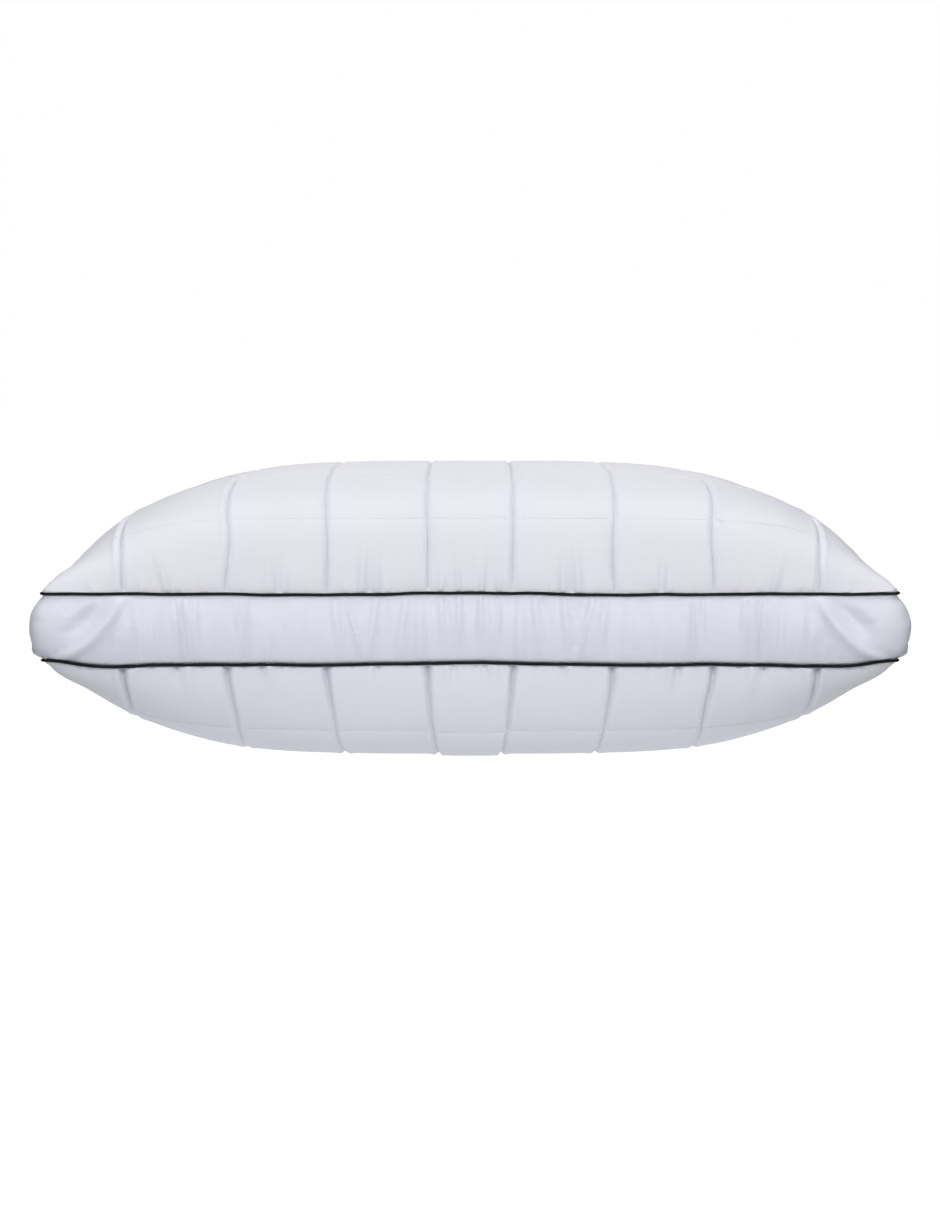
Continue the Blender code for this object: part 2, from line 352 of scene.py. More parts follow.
def settle(height):
    """Heights under SETTLING bend over into the flat that the pillow rests on."""
    bent = (height + SETTLING) ** 2 / (4 * SETTLING)
    return np.where(height > SETTLING, height, np.where(height < -SETTLING, 0, bent))


def panel_surface(panel, a_lines, b_lines):
    """The filled panel's smooth outside and its outward normals, on a grid of cloth shares."""
    a, b = np.meshgrid(a_lines, b_lines, indexing="ij")
    from_first_row = np.abs(b) * HALF_DEPTH - QUILT_ROWS[-1]
    sag = ROW_SAG[panel.name] * np.exp(-((from_first_row / SAG_WIDTH) ** 2)) * (1 - a**6)
    points = cloth_on_form(panel, a, b + np.sign(b) * sag * (1 - b**8) / HALF_DEPTH)
    total, weights = np.zeros_like(points), np.zeros(a.shape)
    for distance, loop in (
        ((1 + b) * HALF_DEPTH, (a + 1) / 2),
        ((1 - a) * HALF_LENGTH, 1 + (b + 1) / 2),
        ((1 - b) * HALF_DEPTH, 2 + (1 - a) / 2),
        ((1 + a) * HALF_LENGTH, 3 + (1 - b) / 2),
    ):
        near = np.clip(1 - distance / SEAM_FADE, 0, 1)
        weight = near * near * (3 - 2 * near)
        total += read_loop(rim_shifts[panel.name], np.minimum(loop, LAST_ON_LOOP)) * (weight**2)[..., None]
        weights += weight
    points += total / np.maximum(weights, 1e-9)[..., None]
    plan = np.abs(points[..., :2])
    corner = np.hypot(plan[..., 0] - corner_plan[0], plan[..., 1] - corner_plan[1])
    from_rim = np.minimum((1 - np.abs(a)) * HALF_LENGTH, (1 - np.abs(b)) * HALF_DEPTH)
    tuck = CORNER_TUCK[panel.name] * np.exp(-(((corner - TUCK_PLACE) / TUCK_WIDTH) ** 2))
    tuck = tuck * np.minimum(1, from_rim / TUCK_START)
    across = (1 - np.abs(b)) * HALF_DEPTH
    deep = np.clip(across / GATHER_REACH, 0, 1)
    from_middle = np.abs(a) * HALF_LENGTH
    spread = np.interp(from_middle, SPREAD_PLACES, SPREAD) * np.exp(-((across / SPREAD_REACH) ** 2))
    gather = np.interp(from_middle, GATHER_PLACES, GATHER) * deep * deep * (3 - 2 * deep)
    points[..., 0] += np.sign(a) * (spread - gather)
    points[..., 2] -= panel.up * tuck
    if panel.settled:
        under = np.clip((panel.seam - points[..., 2]) / DRIFT_DEPTH, 0, 1)
        drift = np.interp(plan[..., 0], DRIFT_PLACES, DRIFT) * under**DRIFT_GROWTH
        points[..., 0] -= np.sign(points[..., 0]) * drift
        ends = np.clip((plan[..., 1] - CONTACT_Y[0]) / CONTACT_Y[1], 0, 1)
        ends = ends * np.clip((plan[..., 0] - CONTACT_X[0]) / CONTACT_X[1], 0, 1)
        points[..., 2] = settle(points[..., 2]) + CONTACT_EASE * ends
    along, across = np.gradient(points, axis=0), np.gradient(points, axis=1)
    normals = panel.up * np.cross(along, across)
    normals /= np.linalg.norm(normals, axis=-1, keepdims=True)
    rim = rim_numbers(*a.shape)
    flat = normals.reshape(-1, 3)
    flat[rim, :2] = loop_outward(points.reshape(-1, 3)[rim, :2])
    flat[rim, 2] = 0
    return points, flat.reshape(points.shape)


def rim_numbers(columns, rows):
    """Grid point numbers round the rim, anticlockwise seen from above."""
    number = np.arange(columns * rows).reshape(columns, rows)
    return np.concatenate([number[:-1, 0], number[-1, :-1], number[:0:-1, -1], number[0, :0:-1]])


def loop_outward(plan):
    """Unit outward directions of a closed plan line that runs anticlockwise."""
    ahead = np.roll(plan, -1, 0) - plan
    behind = plan - np.roll(plan, 1, 0)
    ahead /= np.linalg.norm(ahead, axis=1, keepdims=True)
    behind /= np.linalg.norm(behind, axis=1, keepdims=True)
    tangent = ahead + behind
    tangent /= np.linalg.norm(tangent, axis=1, keepdims=True)
    return np.column_stack([tangent[:, 1], -tangent[:, 0]])


def stops_of(sewn, half):
    """The edges and the quilting lines across one direction, in metres from the middle."""
    return np.array([-half, *(-x for x in reversed(sewn)), *sewn, half])


column_stops = stops_of(QUILT_COLUMNS, HALF_LENGTH)
row_stops = stops_of(QUILT_ROWS, HALF_DEPTH)


def even_lines(stops, steps):
    """Lines that divide each quilted cell into even steps."""
    lines = [np.linspace(start, end, steps, endpoint=False) for start, end in zip(stops, stops[1:])]
    return np.append(np.concatenate(lines), stops[-1])


def detail_lines(stops, steps):
    """Lines that crowd towards each quilting line, and the numbers of those kept in hidden layers."""
    lines, kept = [], []
    for start, end in zip(stops, stops[1:]):
        near = [start + x for x in DETAIL_OFFSETS]
        far = [end - x for x in reversed(DETAIL_OFFSETS)]
        middle = np.linspace(near[-1], far[0], steps)[1:-1]
        lines += [start, *near, *middle, *far]
        plain = [k % KEPT_PLAIN == 1 for k in range(len(middle))]
        kept += [True, *KEPT_OFFSETS, *plain, *reversed(KEPT_OFFSETS)]
    return np.array([*lines, stops[-1]]), np.flatnonzero([*kept, True])


def spline_weights(known, wanted):
    """A matrix that reads a natural cubic spline through evenly spaced known points."""
    size, step = len(known), known[1] - known[0]
    left, right = np.zeros((size, size)), np.zeros((size, size))
    left[0, 0] = left[-1, -1] = 1
    for k in range(1, size - 1):
        left[k, k - 1 : k + 2] = 1, 4, 1
        right[k, k - 1 : k + 2] = 6 / step**2, -12 / step**2, 6 / step**2
    bends = np.linalg.solve(left, right)
    place = np.clip((wanted - known[0]) / step, 0, size - 1)
    i = np.minimum(place.astype(int), size - 2)
    f = (place - i)[:, None]
    unit = np.eye(size)
    low, high = unit[i], unit[i + 1]
    curve = ((1 - f) ** 3 - (1 - f)) * bends[i] + (f**3 - f) * bends[i + 1]
    return (1 - f) * low + f * high + curve * step**2 / 6


NEARLY = 1e-9


def refine(values, stops, steps, wanted):
    """Reads values on even lines at the wanted lines, smooth in each cell and creased between."""
    result = np.empty((len(wanted),) + values.shape[1:])
    for k, (start, end) in enumerate(zip(stops, stops[1:])):
        inside = (wanted >= start - NEARLY) & (wanted <= end + NEARLY)
        weights = spline_weights(np.linspace(start, end, steps + 1), wanted[inside])
        part = values[k * steps : (k + 1) * steps + 1]
        result[inside] = np.tensordot(weights, part, axes=1)
    return result


def line_distance(lines, sewn):
    """Distance from each line to the nearest quilting line."""
    places = np.array([*(-x for x in sewn), *sewn])
    return np.min(np.abs(lines[:, None] - places[None, :]), axis=1)


def simulate_cloth(name, points, quads, cut, sewn, pressure, bending, frames):
    """Inflates a cloth that is held at its sewn points, and returns where its points end up."""
    mesh = bpy.data.meshes.new(name)
    mesh.from_pydata(points.tolist(), [], quads.tolist())
    cloth_object = bpy.data.objects.new(name, mesh)
    bpy.context.scene.collection.objects.link(cloth_object)
    group = cloth_object.vertex_groups.new(name="sewn")
    group.add([int(i) for i in sewn], 1.0, "REPLACE")
    cloth_object.shape_key_add(name="filled")
    cut_key = cloth_object.shape_key_add(name="cut")
    cut_key.data.foreach_set("co", cut.astype(np.float32).ravel())
    cut_key.value = 0
    cloth = cloth_object.modifiers.new("Cloth", "CLOTH")
    settings = cloth.settings
    settings.vertex_group_mass = "sewn"
    settings.rest_shape_key = cut_key
    settings.quality = 5
    settings.mass = 0.2
    settings.tension_stiffness = 15
    settings.compression_stiffness = 15
    settings.shear_stiffness = 5
    settings.bending_stiffness = bending
    settings.tension_damping = 10
    settings.compression_damping = 10
    settings.shear_damping = 10
    settings.bending_damping = 0.5
    settings.air_damping = 2
    settings.use_pressure = True
    settings.uniform_pressure_force = pressure
    settings.effector_weights.gravity = 0
    cloth.collision_settings.use_collision = False
    cloth.collision_settings.use_self_collision = False
    cloth.point_cache.frame_start = 1
    cloth.point_cache.frame_end = frames
    for number in range(1, frames + 1):
        bpy.context.scene.frame_set(number)
    evaluated = cloth_object.evaluated_get(bpy.context.evaluated_depsgraph_get())
    result = np.empty(len(points) * 3, np.float32)
    evaluated.data.vertices.foreach_get("co", result)
    bpy.data.objects.remove(cloth_object)
    bpy.data.meshes.remove(mesh)
    bpy.context.scene.frame_set(1)
    return result.reshape(-1, 3).astype(float)


def grid_quads(columns, rows):
    """Quads over a grid of points, facing up for a grid that runs along x and then y."""
    number = np.arange(columns * rows).reshape(columns, rows)
    corners = number[:-1, :-1], number[1:, :-1], number[1:, 1:], number[:-1, 1:]
    return np.stack([corner.ravel() for corner in corners], axis=1)


RIM_EASE = 0.006
INFLATION = {"bending": 0.02, "frames": 20}
Quilting = namedtuple(
    "Quilting", "column_recess row_recess seam_recess seam_reach groove crease pressure cap")
TOP_QUILTING = Quilting(
    column_recess=0.0010, row_recess=0.0005, seam_recess=0.0, seam_reach=0.03,
    groove=0.0016, crease=0.0, pressure=2.0, cap=0.0010)
BOTTOM_QUILTING = Quilting(
    column_recess=0.0016, row_recess=0.0007, seam_recess=0.0042, seam_reach=0.030,
    groove=0.0005, crease=0.0033, pressure=2.0, cap=0.0050)


def quilt_recess(quilting, columns, rows):
    """How deep the stitches hold each quilting line under the form, as two grids."""
    from_seam = HALF_DEPTH - np.abs(rows)
    extra = quilting.seam_recess * np.exp(-from_seam / quilting.seam_reach)
    sides = HALF_LENGTH - np.abs(columns)
    extra_side = quilting.seam_recess * np.exp(-sides / quilting.seam_reach)
    at_rim_rows = np.clip(from_seam / RIM_EASE, 0, 1)
    at_rim_columns = np.clip(sides / RIM_EASE, 0, 1)
    rim = at_rim_columns[:, None] * at_rim_rows[None, :]
    column_depth = (quilting.column_recess + extra)[None, :] * rim
    row_depth = (quilting.row_recess + extra_side)[:, None] * rim
    return column_depth, row_depth


def inflate_panel(panel, quilting):
    """The face cloth's outside after inflation, on even lines."""
    columns = even_lines(column_stops, SIMULATION_STEPS)
    rows = even_lines(row_stops, SIMULATION_STEPS)
    points, normals = panel_surface(panel, columns / HALF_LENGTH, rows / HALF_DEPTH)
    column_depth, row_depth = quilt_recess(quilting, columns, rows)
    on_column = np.zeros(points.shape[:2], bool)
    on_row = np.zeros(points.shape[:2], bool)
    on_column[SIMULATION_STEPS:-1:SIMULATION_STEPS] = True
    on_row[:, SIMULATION_STEPS:-1:SIMULATION_STEPS] = True
    depth = np.maximum(on_column * column_depth, on_row * row_depth)
    start = points - normals * depth[..., None]
    sewn = on_column | on_row
    sewn[0] = sewn[-1] = True
    sewn[:, 0] = sewn[:, -1] = True
    u, v = np.meshgrid(columns, rows, indexing="ij")
    cut = np.stack([u, v, np.zeros_like(u)], axis=-1)
    quads = grid_quads(*points.shape[:2])
    if panel.up < 0:
        quads = quads[:, ::-1]
    ends = simulate_cloth(
        panel.name + "_inflation", start.reshape(-1, 3), quads, cut.reshape(-1, 3),
        np.flatnonzero(sewn.ravel()), quilting.pressure, **INFLATION)
    move = ends.reshape(points.shape) - points
    length = np.linalg.norm(move, axis=-1, keepdims=True)
    return points + move * np.minimum(1, quilting.cap / np.maximum(length, NEARLY))


detail_columns, kept_columns = detail_lines(column_stops, COLUMN_STEPS)
detail_rows, kept_rows = detail_lines(row_stops, ROW_STEPS)

# Puckers stand along the piping where the cloth's edge has been eased in: soft and long on the
# top panel, and short, tight tucks on the bottom one, which the filling's weight pulls down. Each
# front pucker is (distance from the middle, height, width, reach, lean), and lies on both halves.
Puckers = namedtuple("Puckers", "seed spacing height width reach front")
TOP_FRONT = (
    (0.0000, 0.0006, 0.0050, 0.060, 0.00), (0.0087, 0.0011, 0.0026, 0.026, 0.05),
    (0.0225, 0.0010, 0.0024, 0.014, -0.10), (0.0430, 0.0004, 0.0040, 0.020, 0.00),
    (0.0626, 0.0007, 0.0022, 0.009, 0.00), (0.0705, 0.0013, 0.0030, 0.032, 0.05),
    (0.0772, -0.0008, 0.0020, 0.014, 0.00), (0.0831, 0.0014, 0.0032, 0.038, -0.08),
    (0.0960, 0.0005, 0.0024, 0.008, 0.00), (0.1230, 0.0005, 0.0030, 0.010, 0.00),
    (0.1399, 0.0008, 0.0024, 0.018, 0.10), (0.1457, -0.0008, 0.0020, 0.022, 0.10),
    (0.1515, 0.0006, 0.0045, 0.048, 0.10), (0.1720, 0.0005, 0.0028, 0.012, 0.00),
    (0.2020, 0.0005, 0.0030, 0.018, 0.00), (0.2214, 0.0009, 0.0024, 0.010, 0.00),
    (0.2287, 0.0013, 0.0028, 0.030, 0.22), (0.2470, 0.0006, 0.0030, 0.014, 0.20),
    (0.2850, 0.0005, 0.0030, 0.016, 0.20))
BOTTOM_FRONT = (
    (0.0040, -0.0010, 0.0020, 0.006, 0.00), (0.0110, -0.0016, 0.0022, 0.008, 0.10),
    (0.0190, 0.0008, 0.0026, 0.008, 0.00), (0.0500, -0.0008, 0.0020, 0.005, 0.00),
    (0.0700, -0.0015, 0.0022, 0.009, 0.10), (0.0760, 0.0010, 0.0026, 0.010, 0.10),
    (0.0900, -0.0008, 0.0020, 0.005, 0.00), (0.1355, -0.0010, 0.0020, 0.007, 0.00),
    (0.1442, -0.0011, 0.0020, 0.007, 0.00), (0.1530, 0.0012, 0.0032, 0.016, 0.00),
    (0.1588, -0.0020, 0.0026, 0.013, 0.00), (0.1720, -0.0009, 0.0020, 0.006, 0.00),
    (0.2050, -0.0010, 0.0022, 0.006, 0.00), (0.2140, 0.0012, 0.0036, 0.022, 0.00),
    (0.2229, -0.0022, 0.0026, 0.010, 0.00), (0.2400, -0.0010, 0.0024, 0.008, 0.40),
    (0.2500, 0.0008, 0.0032, 0.014, 0.50), (0.2900, -0.0010, 0.0024, 0.008, 0.00),
    (0.3000, -0.0009, 0.0022, 0.006, 0.00))
TOP_PUCKERS = Puckers(
    seed=11, spacing=0.0125, height=(0.0003, 0.0012), width=(0.0030, 0.0055),
    reach=(0.010, 0.045), front=TOP_FRONT)
BOTTOM_PUCKERS = Puckers(
    seed=23, spacing=0.014, height=(-0.0018, -0.0006), width=(0.0020, 0.0030),
    reach=(0.005, 0.013), front=BOTTOM_FRONT)
PUCKER_STRENGTH = 2.1
PUCKER_START = 0.0012
PUCKER_WIDENING = 0.6
PUCKER_VALLEY = 0.7
PUCKER_LEAN = 0.15
PUCKER_GAPS = (0.5, 1.6)
SHORT_REACHES = 1.6
CORNER_ROOM = 0.02


def pucker(along, away, height, width, reach, lean):
    """One pucker's height over places along the seam from its foot and away from the seam."""
    x = (along - lean * away) / (width * (1 + away / reach * PUCKER_WIDENING))
    fade = (1 - np.exp(-away / PUCKER_START)) * np.exp(-((away / reach) ** 2))
    return height * (1 - PUCKER_VALLEY * x * x) * np.exp(-x * x) * fade


def pucker_relief(style, columns, rows):
    """How far the puckers stand out, over a grid of places on the cloth."""
    random = np.random.default_rng(style.seed)
    u, v = np.meshgrid(columns, rows, indexing="ij")
    relief = np.zeros(u.shape)
    for place, *shape in style.front:
        for side in (-1, 1) if place else (1,):
            relief += PUCKER_STRENGTH * pucker(u * side - place, v + HALF_DEPTH, *shape)
    for along, away, half in (
        (v, HALF_LENGTH - u, HALF_DEPTH),
        (-u, HALF_DEPTH - v, HALF_LENGTH),
        (-v, u + HALF_LENGTH, HALF_DEPTH),
    ):
        place = -half + CORNER_ROOM
        while place < half - CORNER_ROOM:
            place += style.spacing * random.uniform(*PUCKER_GAPS)
            height, width = random.uniform(*style.height), random.uniform(*style.width)
            longer = (style.reach[1] - style.reach[0]) * random.random() ** SHORT_REACHES
            lean = random.uniform(-PUCKER_LEAN, PUCKER_LEAN)
            relief += pucker(along - place, away, height, width, style.reach[0] + longer, lean)
    return relief


# The quilting lines wander a little from straight, and hook sideways where they meet the piping.
WANDER = 0.00015
WANDER_LENGTHS = (0.031, 0.0713)
WANDER_WIDTH = 0.010
WANDER_PHASES = {"top": 0.5, "bottom": 2.0}
PHASE_STEP = 1.7
HOOK = 0.0010
HOOK_PLACE = 0.0045
HOOK_LENGTH = 0.0025
HOOK_TURN = 2.2
SEWN_EDGE = 0.003


def seam_wander(panel, columns, rows):
    """Sideways shift of the cloth beside each upright quilting line."""
    places = np.array([*(-x for x in QUILT_COLUMNS), *QUILT_COLUMNS])
    shift = np.zeros((len(columns), len(rows)))
    from_rim = HALF_DEPTH - np.abs(rows)
    for number, place in enumerate(places):
        phase = PHASE_STEP * number + WANDER_PHASES[panel.name]
        wave = WANDER * np.sin(rows * 2 * math.pi / WANDER_LENGTHS[0] + phase)
        wave += WANDER * np.sin(rows * 2 * math.pi / WANDER_LENGTHS[1] + 2 * phase)
        hook = np.exp(-(((from_rim - HOOK_PLACE) / HOOK_LENGTH) ** 2))
        hook = HOOK * math.cos(HOOK_TURN * phase) * hook
        near = np.exp(-(((columns - place) / WANDER_WIDTH) ** 2))
        shift += near[:, None] * ((wave + hook) * np.clip(from_rim / SEWN_EDGE, 0, 1))[None, :]
    return shift


Layers = namedtuple("Layers", "outside plain normals base recess")
ROLL = 0.0008
ROLL_PLACE = 0.0036
ROLL_WIDTH = 0.0018
ROW_GROOVE = 0.0001
GROOVE_WIDTH = 0.00065
FULL_COLUMN = 0.001
FULL_ROW = 0.0005
CREASE_WIDTH = 0.0016
CREASE_WIDENING = 0.0014
CREASE_TAPER = 0.030
CREASE_REACH = 0.034


def shape_panel(panel, quilting, puckers):
    """The face cloth's finished outside, the form under it, and how deep its stitches go."""
    coarse = inflate_panel(panel, quilting)
    plain = refine(coarse, column_stops, SIMULATION_STEPS, detail_columns)
    plain = refine(plain.swapaxes(0, 1), row_stops, SIMULATION_STEPS, detail_rows).swapaxes(0, 1)
    points, normals = panel_surface(panel, detail_columns / HALF_LENGTH, detail_rows / HALF_DEPTH)
    column_depth, row_depth = quilt_recess(quilting, detail_columns, detail_rows)
    from_column = line_distance(detail_columns, QUILT_COLUMNS)[:, None]
    from_row = line_distance(detail_rows, QUILT_ROWS)[None, :]
    in_column = np.minimum(1, column_depth / FULL_COLUMN)
    in_row = np.minimum(1, row_depth / FULL_ROW)
    groove = quilting.groove * np.exp(-((from_column / GROOVE_WIDTH) ** 2)) * in_column
    groove = np.maximum(groove, ROW_GROOVE * np.exp(-((from_row / GROOVE_WIDTH) ** 2)) * in_row)
    from_seam = (HALF_DEPTH - np.abs(detail_rows))[None, :]
    crease_width = CREASE_WIDTH + CREASE_WIDENING * np.exp(-from_seam / CREASE_TAPER)
    crease = np.exp(-from_seam / CREASE_REACH) * np.exp(-((from_column / crease_width) ** 2))
    groove = groove + quilting.crease * crease * in_column
    roll = ROLL * np.exp(-(((from_column - ROLL_PLACE) / ROLL_WIDTH) ** 2)) * in_column
    plain = plain - normals * (groove - roll)[..., None]
    along = np.gradient(points, detail_columns, axis=0)
    along /= np.linalg.norm(along, axis=-1, keepdims=True)
    plain = plain + along * seam_wander(panel, detail_columns, detail_rows)[..., None]
    relief = pucker_relief(puckers, detail_columns, detail_rows)
    outside = plain + normals * relief[..., None]
    if panel.settled:
        outside[..., 2] = np.maximum(outside[..., 2], 0)
        plain[..., 2] = np.maximum(plain[..., 2], 0)
    below = np.sum((points - plain) * normals, axis=-1)
    return Layers(outside, plain, normals, points, np.maximum(below, 0))


panel_layers = {
    "top": shape_panel(TOP, TOP_QUILTING, TOP_PUCKERS),
    "bottom": shape_panel(BOTTOM, BOTTOM_QUILTING, BOTTOM_PUCKERS),
}


FOLDED_EDGE = 70


def link_mesh(name, points, quads, uvs, material):
    """A smooth mesh object with its own map of the cloth, in metres."""
    mesh = bpy.data.meshes.new(name)
    mesh.from_pydata(points.tolist(), [], quads if isinstance(quads, list) else quads.tolist())
    layer = mesh.uv_layers.new(name="cloth")
    layer.data.foreach_set("uv", uvs.astype(np.float32).ravel())
    mesh.shade_smooth()
    mesh.set_sharp_from_angle(angle=math.radians(FOLDED_EDGE))
    mesh.materials.append(material)
    piece = bpy.data.objects.new(name, mesh)
    bpy.context.scene.collection.objects.link(piece)
    return piece


def kept(grid):
    """The points of a fine grid that the hidden layers use."""
    return grid[np.ix_(kept_columns, kept_rows)]


def flat_places(columns, rows):
    """The cloth's own places of a grid's points."""
    u, v = np.meshgrid(columns, rows, indexing="ij")
    return np.stack([u.ravel(), v.ravel()], axis=1)


def layer_piece(name, panel, outer, inner, material):
    """A closed sheet between a grid of points outside and a hidden, coarser or equal grid inside."""
    fine = outer.shape[0] == len(detail_columns)
    inner_lines = (detail_columns[kept_columns], detail_rows[kept_rows])
    outer_lines = (detail_columns, detail_rows) if fine else inner_lines
    points = np.concatenate([outer.reshape(-1, 3), inner.reshape(-1, 3)])
    size = outer.shape[0] * outer.shape[1]
    flat = np.concatenate([flat_places(*outer_lines), flat_places(*inner_lines)])
    outer_quads = grid_quads(*outer.shape[:2])
    inner_quads = grid_quads(*inner.shape[:2])[:, ::-1] + size
    outer_rim = rim_numbers(*outer.shape[:2])
    inner_rim = rim_numbers(*inner.shape[:2]) + size
    if fine:
        number = np.full(size, -1)
        number[outer_rim] = np.arange(len(outer_rim))
        corners = kept(np.arange(size).reshape(outer.shape[:2])).ravel()
        starts = number[corners[inner_rim - size]]
    else:
        starts = np.arange(len(outer_rim))
    ends = np.append(starts[1:], len(outer_rim))
    bands = []
    for k, (start, end) in enumerate(zip(starts, ends)):
        following = inner_rim[(k + 1) % len(inner_rim)]
        middle = (start + end + 1) // 2
        for step in range(start, end):
            here, ahead = outer_rim[step], outer_rim[(step + 1) % len(outer_rim)]
            bands.append((inner_rim[k] if step < middle else following, ahead, here))
        turn = outer_rim[middle % len(outer_rim)]
        bands.append((inner_rim[k], following, turn))
    faces = [*outer_quads.tolist(), *inner_quads.tolist(), *bands]
    if panel.up < 0:
        faces = [face[::-1] for face in faces]
    corners = np.concatenate([np.asarray(face) for face in faces])
    return link_mesh(name, points, faces, flat[corners], material)


THREAD_SPREAD = (0.8, 1.6)
ROUGHNESS_RANGE = 0.06
LEVEL_SHARE = 1.4
WEAVE_SHADE = 0.6
WEAVE_RELIEF = 0.5
SLUB_STRETCH = (28, 34)
CLOUD_SCALE = 16
NOISE_DETAIL = 2.0


def weave_nodes(material, pitch, slub, tint, streak, relief):
    """Adds a plain weave with uneven threads to a material: colour, roughness and relief."""
    tree = material.node_tree
    shader = tree.nodes["Principled BSDF"]

    def maths(operation, first, second):
        return add_node(tree, "ShaderNodeMath", {0: first, 1: second}, operation=operation).outputs[0]

    place = add_node(tree, "ShaderNodeUVMap", {}, uv_map="cloth")
    axes = add_node(tree, "ShaderNodeSeparateXYZ", {0: place.outputs["UV"]})
    warp = maths("SINE", maths("MULTIPLY", axes.outputs["X"], 2 * math.pi / pitch), 0.0)
    weft = maths("SINE", maths("MULTIPLY", axes.outputs["Y"], 2 * math.pi / pitch), 0.0)
    weave = maths("MULTIPLY", warp, weft)

    def streaks(across, along):
        squeeze = add_node(tree, "ShaderNodeMapping", {
            "Vector": place.outputs["UV"], "Scale": (across, along, 1)})
        noise = add_node(tree, "ShaderNodeTexNoise", {
            "Vector": squeeze.outputs[0], "Scale": 1.0, "Detail": NOISE_DETAIL}, noise_dimensions="2D")
        return noise.outputs["Fac"]

    level = streaks(SLUB_STRETCH[0], 1 / slub)
    upright = streaks(1 / slub, SLUB_STRETCH[1])
    cloud = streaks(CLOUD_SCALE, CLOUD_SCALE)
    threads = maths("ADD", maths("MULTIPLY", level, LEVEL_SHARE), upright)

    def by_threads(low, high):
        return add_ramp(tree, threads, THREAD_SPREAD, (low, high))

    woven = maths("MULTIPLY", weave, streak * WEAVE_SHADE)
    shade = maths("ADD", maths("ADD", by_threads(-streak, streak), 1.0), woven)
    colour = add_node(
        tree, "ShaderNodeMix", {0: cloud, 6: (*tint[0], 1), 7: (*tint[1], 1)}, data_type="RGBA")
    lit = add_node(tree, "ShaderNodeVectorMath", {0: colour.outputs[2], "Scale": shade}, operation="SCALE")
    tree.links.new(lit.outputs[0], shader.inputs["Base Color"])
    plain = shader.inputs["Roughness"].default_value
    rough = by_threads(plain + ROUGHNESS_RANGE, plain - ROUGHNESS_RANGE)
    tree.links.new(rough, shader.inputs["Roughness"])
    height = maths("ADD", maths("MULTIPLY", weave, WEAVE_RELIEF), threads)
    bump = add_node(tree, "ShaderNodeBump", {"Height": height, "Distance": relief, "Strength": 1.0})
    tree.links.new(bump.outputs[0], shader.inputs["Normal"])


SHEEN_ROUGHNESS = 0.5


def fabric(name, roughness, sheen, specular):
    """A new cloth material with its constant finish."""
    material = bpy.data.materials.new(name)
    material.use_nodes = True
    shader = material.node_tree.nodes["Principled BSDF"]
    shader.inputs["Roughness"].default_value = roughness
    shader.inputs["Sheen Weight"].default_value = sheen
    shader.inputs["Sheen Roughness"].default_value = SHEEN_ROUGHNESS
    shader.inputs["Specular IOR Level"].default_value = specular
    return material


panel_cotton = fabric("panel_cotton", roughness=0.50, sheen=0.10, specular=0.5)
weave_nodes(
    panel_cotton, pitch=0.00045, slub=0.0009, streak=0.012, relief=0.00004,
    tint=((0.79, 0.79, 0.858), (0.765, 0.767, 0.832)))

# The hidden side of a face cloth stays clear of its puckers, so it lies deeper near the rim.
PUCKER_ROOM = {"top": 0.0018, "bottom": 0.0042}
ROOM_START = 0.0015
ROOM_REACH = 0.030
hidden_depths = {}
for panel in (TOP, BOTTOM):
    layers = panel_layers[panel.name]
    from_rim = np.minimum(
        (HALF_LENGTH - np.abs(detail_columns))[:, None], (HALF_DEPTH - np.abs(detail_rows))[None, :])
    spare = (1 - np.exp(-from_rim / ROOM_START)) * np.exp(-((from_rim / ROOM_REACH) ** 2))
    hidden_depths[panel.name] = kept(FACE_CLOTH + PUCKER_ROOM[panel.name] * spare)
    inside = kept(layers.plain) - kept(layers.normals) * hidden_depths[panel.name][..., None]
    shell = layer_piece(panel.name + "_face_cloth", panel, layers.outside, inside, panel_cotton)
    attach(shell, "root")
    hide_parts(panel.name + "_panel_shell")

# ---------------------------------------------------------------------------------------------
# Wadding and backing. Under each face cloth lies a thin bonded wadding, then a light backing
# cloth, and the quilting draws all three together along its lines.
STITCHED_WADDING = 0.0009
wadding_fibre = fabric("wadding_fibre", roughness=0.95, sheen=0.3, specular=0.1)
weave_nodes(
    wadding_fibre, pitch=0.003, slub=0.004, streak=0.06, relief=0.0003,
    tint=((0.80, 0.80, 0.79), (0.70, 0.70, 0.69)))
backing_cloth = fabric("backing_cloth", roughness=0.85, sheen=0.1, specular=0.2)
weave_nodes(
    backing_cloth, pitch=0.0008, slub=0.0015, streak=0.03, relief=0.0001,
    tint=((0.74, 0.74, 0.74), (0.70, 0.70, 0.70)))

backing_depths = {}
for panel in (TOP, BOTTOM):
    layers = panel_layers[panel.name]
    over = hidden_depths[panel.name] + GAP
    normals, base = kept(layers.normals), kept(layers.base)
    wadding_top = kept(layers.plain) - normals * over[..., None]
    depth = np.maximum(FACE_CLOTH + GAP + WADDING, kept(layers.recess) + over + STITCHED_WADDING)
    backing_depths[panel.name] = depth + GAP
    wadding_bottom = base - normals * depth[..., None]
    wadding = layer_piece(panel.name + "_wadding", panel, wadding_top, wadding_bottom, wadding_fibre)
    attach(wadding, "root")
    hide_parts(panel.name + "_panel_wadding")
    backing_top = base - normals * (depth + GAP)[..., None]
    backing_bottom = base - normals * (depth + GAP + BACKING)[..., None]
    backing = layer_piece(panel.name + "_backing", panel, backing_top, backing_bottom, backing_cloth)
    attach(backing, "root")
    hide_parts(panel.name + "_panel_backing")

